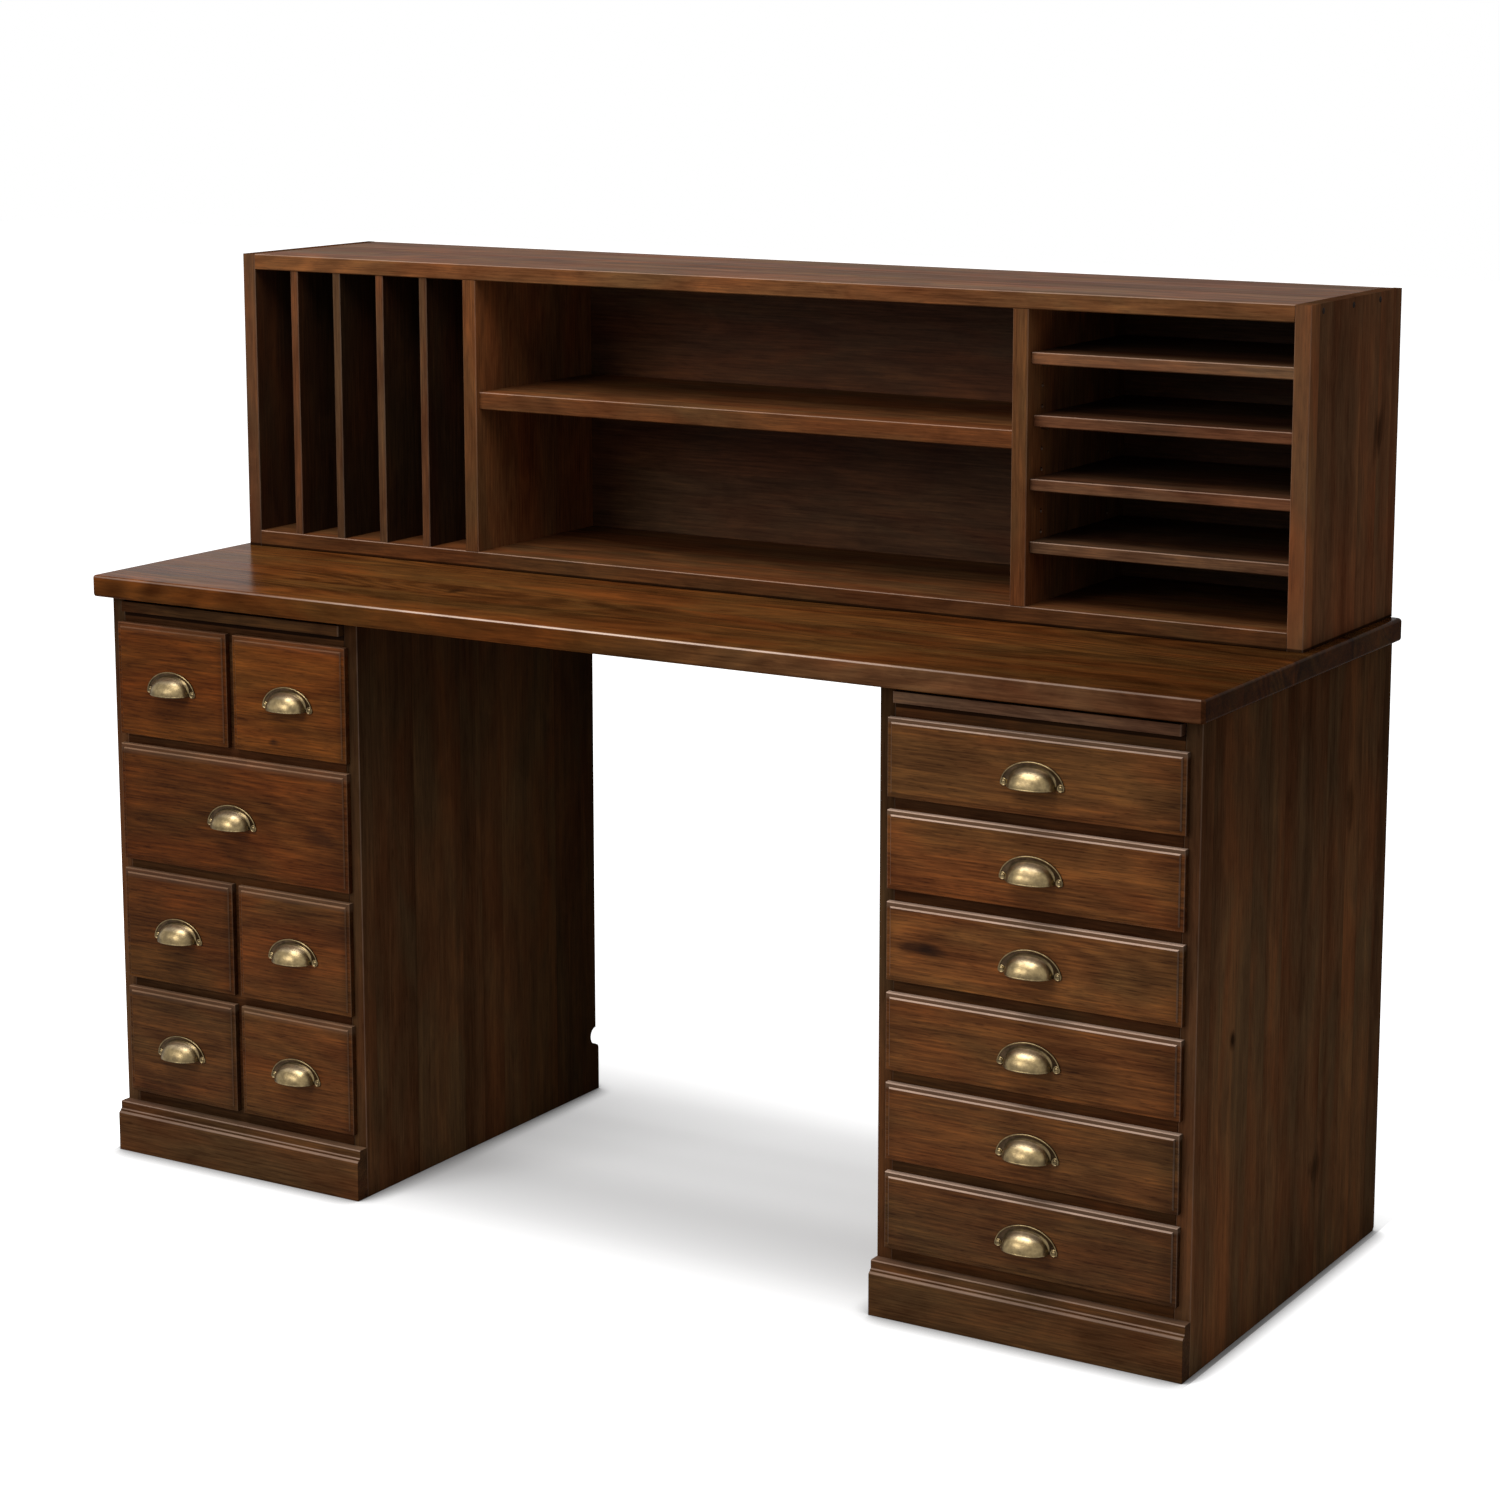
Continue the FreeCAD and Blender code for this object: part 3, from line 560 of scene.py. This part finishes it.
def brass(name, worn_all_over=False):
    """Aged brass. The mesh's rubbed attribute is 0 where it is brown and 1 where it is bright."""
    material = bpy.data.materials.new(name)
    graph = Graph(material)
    coordinates = graph.add("TexCoord").node
    place = coordinates.outputs["Object"]
    specks = graph.noise(place, SPECK_SCALE, detail=4.0, roughness=0.60)
    clouds = graph.noise(place, CLOUD_SCALE, detail=3.0)
    open_share = graph.add("AmbientOcclusion", {"Distance": CREVICE_REACH}, output=1, samples=8)
    rubbed = 1.0 if worn_all_over else graph.add("Attribute", output=2, attribute_name="rubbed")
    bright = graph.product(graph.ramp(open_share, CREVICE_SHARES), rubbed)
    colour = graph.mix(bright, BRASS_BROWN, BRASS_BRIGHT)
    upward = graph.split(coordinates.outputs["Normal"])["Z"]
    # Painted highlight on the rubbed parts that face up
    highlight = graph.product(graph.ramp(upward, HIGHLIGHT_TURN),
                           graph.math("GREATER_THAN", rubbed, HIGHLIGHT_FROM))
    colour = graph.mix(highlight, colour, BRASS_HIGHLIGHT)
    colour = graph.mix(1.0, colour, graph.ramp(clouds, CLOUD_TONES), "MULTIPLY")
    colour = graph.mix(1.0, colour, graph.ramp(specks, SPECK_TONES), "MULTIPLY")
    bumped = graph.add("Bump", {"Strength": SPECK_STRENGTH, "Distance": SPECK_DEPTH,
                                "Height": specks})
    shader = graph.add("BsdfPrincipled", {"Base Color": colour, "Metallic": 1.0,
                                          "Roughness": graph.ramp(clouds, CLOUD_ROUGHNESS),
                                          "Normal": bumped})
    graph.add("OutputMaterial", {0: shader})
    return material


def add_object(name, data):
    thing = bpy.data.objects.new(name, data)
    bpy.context.scene.collection.objects.link(thing)
    return thing


def add_mesh(name, mesh, material):
    """Turns a bmesh into an object of one material."""
    data = bpy.data.meshes.new(name)
    mesh.to_mesh(data)
    mesh.free()
    data.materials.append(material)
    return add_object(name, data)


def add_floor():
    """A pale floor that keeps the desk's shadow, with painted shadow between the pedestals and
    where things stand on it, and is white to the camera beyond it.
    """
    mesh = bpy.data.meshes.new("floor")
    half = FLOOR_HALF_WIDTH
    corners = [(-half, -half), (half, -half), (half, half), (-half, half)]
    mesh.from_pydata([(x, y, -FLOOR_DROP) for x, y in corners], [], [(0, 1, 2, 3)])
    floor = add_object("floor", mesh)
    material = bpy.data.materials.new("studio_floor")
    graph = Graph(material)
    open_share = graph.add("AmbientOcclusion", {"Distance": CONTACT_REACH}, output=1, samples=16)
    # Painted contact shade in the floor's colour, and below, painted shadow in its glow
    shade = graph.ramp(open_share, CONTACT_SHADE)
    diffuse = graph.add("BsdfDiffuse", {"Color": graph.mix(1.0, FLOOR_COLOUR, shade, "MULTIPLY")})
    place = graph.split(graph.add("NewGeometry"))
    knee_shadow = graph.profile(place["Y"], KNEE_SHADOW_GLOW, "CARDINAL")
    under = graph.math("LESS_THAN", graph.math("ABSOLUTE", place["X"]), KNEE_HALF_WIDTH)
    contact_shadow = graph.ramp(open_share, CONTACT_SHADOW_GLOW)
    strength = graph.product(contact_shadow, graph.mix(under, WHITE, knee_shadow))
    camera_ray = graph.add("LightPath").node.outputs["Is Camera Ray"]
    glow = graph.add("Emission", {"Color": WHITE, "Strength": graph.product(camera_ray, strength)})
    graph.add("OutputMaterial", {0: graph.add("AddShader", {0: diffuse, 1: glow})})
    mesh.materials.append(material)


def add_world():
    """Dim light from all around, which is white to the camera, in gloss and through glass."""
    world = bpy.data.worlds.new("studio")
    bpy.context.scene.world = world
    graph = Graph(world)
    rays = graph.add("LightPath").node
    seen = graph.math("MAXIMUM", rays.outputs["Is Camera Ray"], rays.outputs["Is Glossy Ray"])
    seen = graph.math("MAXIMUM", seen, rays.outputs["Is Transmission Ray"])
    strength = graph.span(seen, 0.0, 1.0, WORLD_LIGHT)
    graph.add("OutputWorld", {0: graph.add("Background", {0: WHITE, 1: strength})})


def add_light(name, place, size, watts):
    light = bpy.data.lights.new(name, "AREA")
    light.shape = "RECTANGLE"
    light.size, light.size_y = size
    light.energy = watts
    lamp = add_object(name, light)
    lamp.location = place
    towards = Vector(LIGHT_TARGET) - Vector(place)
    lamp.rotation_euler = towards.to_track_quat("-Z", "Y").to_euler()


def add_camera():
    camera = bpy.data.cameras.new("camera")
    camera.lens = CAMERA_LENS
    camera.sensor_width = CAMERA_SENSOR
    camera.sensor_fit = "HORIZONTAL"
    camera.shift_y = CAMERA_SHIFT_Y
    camera.clip_end = CAMERA_CLIP_END
    eye = add_object("camera", camera)
    eye.location = CAMERA_PLACE
    eye.rotation_euler = [math.radians(angle) for angle in CAMERA_TURN]
    bpy.context.scene.camera = eye


def paint(node, material):
    """Gives a CAD node its material, in place of the one that it came with."""
    materials = frame["nodes"][node].data.materials
    if materials:
        for index in range(len(materials)):
            materials[index] = material
    else:
        materials.append(material)


def paint_desktop():
    weights = {"bands": 0.26, "streaks": 0.06, "mottle": 0.42, "fibres": 0.30, "veins": -0.06,
               "rings": 0.05}
    # Painted highlights on the desktop's edges, strongest in the middle
    highlights = {"slope": 1.0, "ends": 0.10, "places": DESKTOP_HIGHLIGHT, "colour": EDGE_HIGHLIGHT_PALE,
            "band": DESKTOP_BAND}
    paint("desktop", wood("desktop_look", "X", "Y", 1, TOP_STAIN, stave=0.110, weights=weights,
                          knots=0.08, marks=MARKS["desktop"], shares={"Y": 0.68},
                          front_tone=DESKTOP_FRONT_TONE, fades=(DESKTOP_FADE,), highlights=highlights,
                          gloss=0.006, roughness=(0.16, 0.26)))


def paint_side(node, seed, stain, bands, shares, fades, slope_highlight):
    weights = {"bands": bands, "streaks": 0.04, "mottle": 0.26, "fibres": 0.24, "veins": 0.06}
    # The slope share sets the painted highlight on the edges that face up
    paint(node, wood(node + "_look", "Z", "Y", seed, stain, stave=0.070, weights=weights,
                     knots=0.10, marks=MARKS.get(node, ()), shares=shares, fades=fades,
                     highlights={"slope": slope_highlight}, gloss=0.0))


def paint_sides():
    """The wide upright boards of the pedestals and at the hutch's ends."""
    for index, side in enumerate(("left", "right")):
        paint_side(f"{side}_pedestal_outer_side", 3 + 2 * index, SIDE_STAIN, bands=0.34,
                   shares={"Y": 0.85}, fades=(SIDE_SHADE_UNDER_DESKTOP,), slope_highlight=0.2)
        paint_side(f"{side}_pedestal_inner_side", 4 + 2 * index, INNER_SIDE_SHADED_STAIN, bands=0.34,
                   shares={"Y": 0.85}, fades=(SIDE_SHADE_UNDER_DESKTOP, INNER_SIDE_REAR_SHADE), slope_highlight=0.2)
        paint_side(f"hutch_{side}_side", 7 + index, HUTCH_SIDE_STAIN, bands=0.30,
                   shares={"X": HUTCH_SIDE_LIT_AND_SHADED_SHARES[side]}, fades=(SHADOW_UNDER_HUTCH,), slope_highlight=0.3)


def paint_hutch():
    """The hutch's thin uprights, its boards and its back."""
    # Node, seed, tone, weight of the bands and share on the wide faces. The dividers' darker faces
    # are painted shade in the slots, and the partitions' paler faces painted light
    uprights = (("hutch_partitions", 14, (1, 1, 1), 0.20, 1.75),
                ("mail_dividers", 15, (0.88, 0.98, 1.2), 0.22, 0.35))
    for node, seed, tone, bands, face_share in uprights:
        paint(node, wood(node + "_look", "Z", "Y", seed, shaded(HUTCH_STAIN, tone),
                         weights={"bands": bands, "streaks": 0.06, "mottle": 0.28},
                         shares={"X": face_share}))
    # Node, seed, tone, shares on the wide faces and on the front edge, and fades
    boards = (("hutch_top", 21, (0.88, 0.88, 0.88), 1.0, 1.35, ()),
              ("hutch_bottom", 22, (0.80, 0.80, 0.80), 1.0, 0.85, (SHADOW_UNDER_HUTCH,)),
              ("centre_shelf", 23, (0.98, 0.98, 0.98), 1.0, 0.92, ()),
              ("tray_shelves", 24, (1.05, 1.22, 1.65), 0.50, 1.05, ()))
    weights = {"bands": 0.25, "streaks": 0.08, "mottle": 0.34, "rings": 0.03}
    for node, seed, tone, face_share, edge_share, fades in boards:
        paint(node, wood(node + "_look", "X", "Y", seed, shaded(HUTCH_STAIN, tone), stave=0.085,
                         weights=weights, shares={"Z": face_share, "Y": edge_share},
                         fades=fades, highlights={"slope": 0.35}, roughness=(0.42, 0.55)))
    weights = {"bands": 0.22, "streaks": 0.06, "mottle": 0.30}
    paint("hutch_back", wood("hutch_back_look", "X", "Z", 31, HUTCH_BACK_STAIN, weights=weights,
                             gloss=0.06))


def paint_carcase():
    """The pedestals' backs, plinths, writing slides and web frames."""
    weights = {"bands": 0.30, "streaks": 0.06, "mottle": 0.30}
    paint("pedestal_backs", wood("pedestal_backs_look", "X", "Z", 32, BACK_STAIN, weights=weights))
    weights = {"bands": 0.20, "streaks": 0.10, "mottle": 0.36}
    paint("pedestal_plinths", wood("plinths_look", "X", "Z", 33, PLINTH_STAIN, weights=weights,
                                   end_share=0.6, highlights={"slope": 0.36, "top": 0.10}))
    weights = {"bands": 0.30, "streaks": 0.12, "mottle": 0.40}
    for side, seed, stain, face_share in (("left", 35, FRAME_STAIN, 1.0),
                                          ("right", 36, SLIDE_HIGHLIGHT_STAIN, 0.42)):
        paint(side + "_writing_slide", wood(side + "_slide_look", "X", "Y", seed, stain,
                                            weights=weights, shares={"Z": face_share},
                                            fades=(SLIDE_FADE,)))
    frames = wood("frames_look", "X", "Z", 42, FRAME_STAIN, fades=(SHADOW_UNDER_SLIDES,),
                  weights={"bands": 0.30, "streaks": 0.12})
    for side in ("left", "right"):
        paint(side + "_drawer_frames", frames)


def paint_drawers():
    box_wood = wood("inner_wood_look", "Y", "Z", 41, INNER_STAIN,
                    weights={"bands": 0.30, "streaks": 0.15})
    weights = {"bands": 0.16, "streaks": 0.09, "mottle": 0.32, "fibres": 0.50, "veins": 0.07,
               "rings": 0.035, "pores": 0.6}
    for index, body in enumerate(drawer_bodies):
        node = body + "_front"
        side = body.split("_")[0]
        # Painted highlights on each front's lips, and a painted highlight band along its top
        slope, top, lip_highlight = FRONT_HIGHLIGHTS.get(body, FRONT_HIGHLIGHTS[side])
        highlights = {"slope": slope, "top": top, "corner": FRONT_CORNER_HIGHLIGHT,
                "colour": EDGE_HIGHLIGHT if side == "right" else EDGE_HIGHLIGHT_WARM}
        paint(node, wood(node + "_look", "X", "Z", FIRST_FRONT_SEED + FRONT_SEED_STEP * index,
                         shaded(FRONT_STAIN, FRONT_TONES[body]), weights=weights, knots=0.06,
                         marks=MARKS.get(node, ()), end_share=0.6,
                         fades=FRONT_FADES.get(body, ()), lip_highlight=lip_highlight, highlights=highlights, gloss=0.04))
        paint(body + "_box", box_wood)


def sheet(mesh, rows, closed=False):
    """Quads between rows of points. Where closed, each row's last point joins its first."""
    made = [[mesh.verts.new(point) for point in row] for row in rows]
    for low, high in zip(made, made[1:]):
        count = len(low) if closed else len(low) - 1
        for index in range(count):
            after = (index + 1) % len(low)
            mesh.faces.new((low[index], low[after], high[after], high[index]))
    return made


def ring(centre, radius, first=RIGHT, second=UP, sides=24):
    """Points around a centre, from the first direction to the second and on."""
    turns = [2 * math.pi * side / sides for side in range(sides)]
    return [centre + radius * (first * math.cos(turn) + second * math.sin(turn))
            for turn in turns]


def tube(mesh, points, radius, sides=10):
    """A round bead along points, closed at both ends."""
    rows = []
    for index, point in enumerate(points):
        along = (points[min(index + 1, len(points) - 1)] - points[max(index - 1, 0)]).normalized()
        if abs(along.y) > NEARLY_ALONG_Y:
            first = along.orthogonal()
        else:
            first = along.cross(REAR).normalized()
        rows.append(ring(point, radius, first, along.cross(first), sides))
    made = sheet(mesh, rows, closed=True)
    mesh.faces.new(made[0][::-1])
    mesh.faces.new(made[-1])


def power(value, exponent):
    return math.copysign(abs(value) ** exponent, value)


def dome_rows(half_width, radius, around=40, sweep=14):
    """Rows of a quarter dome, from the plate out and down to its lip, with a flare at the plate."""
    share = 2 / DOME_SQUARENESS
    rows = []
    for step in range(sweep + 1):
        turn = math.pi / 2 * step / sweep
        flare = 1 + DOME_FLARE_SHARE * math.exp(-(turn / DOME_FLARE_TURN) ** 2)
        row = []
        for index in range(around + 1):
            angle = math.pi * index / around
            x = half_width * power(math.cos(angle), share)
            out = radius * abs(math.sin(angle)) ** share
            row.append(Vector((x * flare, -out * math.sin(turn), out * math.cos(turn) * flare)))
        rows.append(row)
    return rows


def arch(half_width, height, y, around=48):
    turns = [math.pi * index / around for index in range(around + 1)]
    return [Vector((half_width * math.cos(turn), y, height * math.sin(turn))) for turn in turns]


def ear(mesh, centre):
    """A flat round end of the plate, with a turned rim."""
    rows = [ring(centre - REAR * (rise * PLATE_THICKNESS), share * EAR_RADIUS)
            for share, rise in EAR_LEVELS]
    mesh.faces.new(sheet(mesh, rows, closed=True)[-1])


def slotted_head(mesh, centre):
    """A low round screw head in two halves, with the slot between them."""
    for half in (-1, 1):
        rows = []
        for share, rise in SCREW_LEVELS:
            radius = share * SCREW_RADIUS
            start = math.asin(SCREW_SLOT / 2 / radius)
            turns = [start + (math.pi - 2 * start) * step / SCREW_STEPS
                     for step in range(SCREW_STEPS + 1)]
            rows.append([centre + Vector((radius * math.cos(turn), -rise * SCREW_RISE,
                                          half * radius * math.sin(turn))) for turn in turns])
        mesh.faces.new(sheet(mesh, rows, closed=True)[-1])


def cup_pull(body, material):
    """The detailed pull of one drawer, in place of the plain solid and where that stands."""
    low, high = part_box(body + "_pull")
    base = Vector(((low[0] + high[0]) / 2, high[1], low[2] + EAR_RADIUS - EAR_HEIGHT))
    mesh = bmesh.new()
    rubbed = mesh.verts.layers.float.new("rubbed")
    front = -PLATE_THICKNESS
    outer = arch(PLATE_HALF_WIDTH, PLATE_HEIGHT, 0)
    rim = arch(PLATE_HALF_WIDTH, PLATE_HEIGHT, front)
    groove = arch(PLATE_HALF_WIDTH - 2 * BEAD_RADIUS, PLATE_HEIGHT - 2 * BEAD_RADIUS, front / 2)
    inner = arch(DOME_HALF_WIDTH, DOME_RADIUS, front / 2)
    sheet(mesh, [outer, rim, groove, inner])
    plate_count = len(mesh.verts)
    tube(mesh, arch(PLATE_HALF_WIDTH - BEAD_RADIUS, PLATE_HEIGHT - BEAD_RADIUS, front),
         BEAD_RADIUS)
    for side in (-1, 1):
        centre = Vector((side * (PLATE_HALF_WIDTH - EAR_INSET), 0, EAR_HEIGHT))
        ear(mesh, centre)
        slotted_head(mesh, centre + Vector((0, front, 0)))
    shell = dome_rows(DOME_HALF_WIDTH, DOME_RADIUS)
    hollow = dome_rows(DOME_HALF_WIDTH - DOME_WALL, DOME_RADIUS - DOME_WALL)
    dome = sheet(mesh, shell)
    sheet(mesh, hollow[::-1])
    lip_rise = Vector((0, 0, LIP_RISE * LIP_RADIUS))
    tube(mesh, [(a + b) / 2 + lip_rise for a, b in zip(shell[-1], hollow[-1])], LIP_RADIUS)
    for vertex in list(mesh.verts)[plate_count:]:
        vertex[rubbed] = DETAIL_RUBBED
    for step, row in enumerate(dome):
        for vertex in row:
            vertex[rubbed] = min(1.0, DOME_RUBBED + DOME_RUBBED_GROWTH * step / len(dome))
    bmesh.ops.recalc_face_normals(mesh, faces=mesh.faces)
    for face in mesh.faces:
        face.smooth = True
    bmesh.ops.translate(mesh, verts=mesh.verts, vec=base)
    piece = add_mesh(body + "_cup", mesh, material)
    piece.data.set_sharp_from_angle(angle=math.radians(SHARP_ANGLE))
    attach(piece, body)
    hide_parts(body + "_pull")


def hutch_plugs():
    """Round plugs over the screws that hold the hutch's top board, three in each side."""
    mesh = bmesh.new()
    for side in (-1, 1):
        for y in PLUG_PLACES:
            rows = []
            for share, rise in PLUG_LEVELS:
                centre = Vector((side * (HUTCH_SIDE_FACE + rise * PLUG_RISE), y, PLUG_HEIGHT))
                rows.append(ring(centre, share * PLUG_RADIUS, REAR, UP, PLUG_SIDES))
            mesh.faces.new(sheet(mesh, rows, closed=True)[-1])
    bmesh.ops.recalc_face_normals(mesh, faces=mesh.faces)
    material = wood("plugs_look", "Y", "Z", 61, PLUG_STAIN, weights={"bands": 0.3, "mottle": 0.5},
                    highlights={"slope": 0.1})
    plugs = add_mesh("hutch_plugs", mesh, material)
    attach(plugs, "desk")


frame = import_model()
drawer_bodies = sorted(name for name in frame["bodies"] if "_drawer_" in name)
add_camera()
add_world()
add_floor()
for light in LIGHTS:
    add_light(*light)
paint_desktop()
paint_sides()
paint_hutch()
paint_carcase()
paint_drawers()
pull_material = brass("antique_brass_look")
for body in drawer_bodies:
    cup_pull(body, pull_material)
paint("shelf_pins", brass("pin_brass_look", worn_all_over=True))
hutch_plugs()
bpy.context.scene.view_settings.view_transform = "Standard"
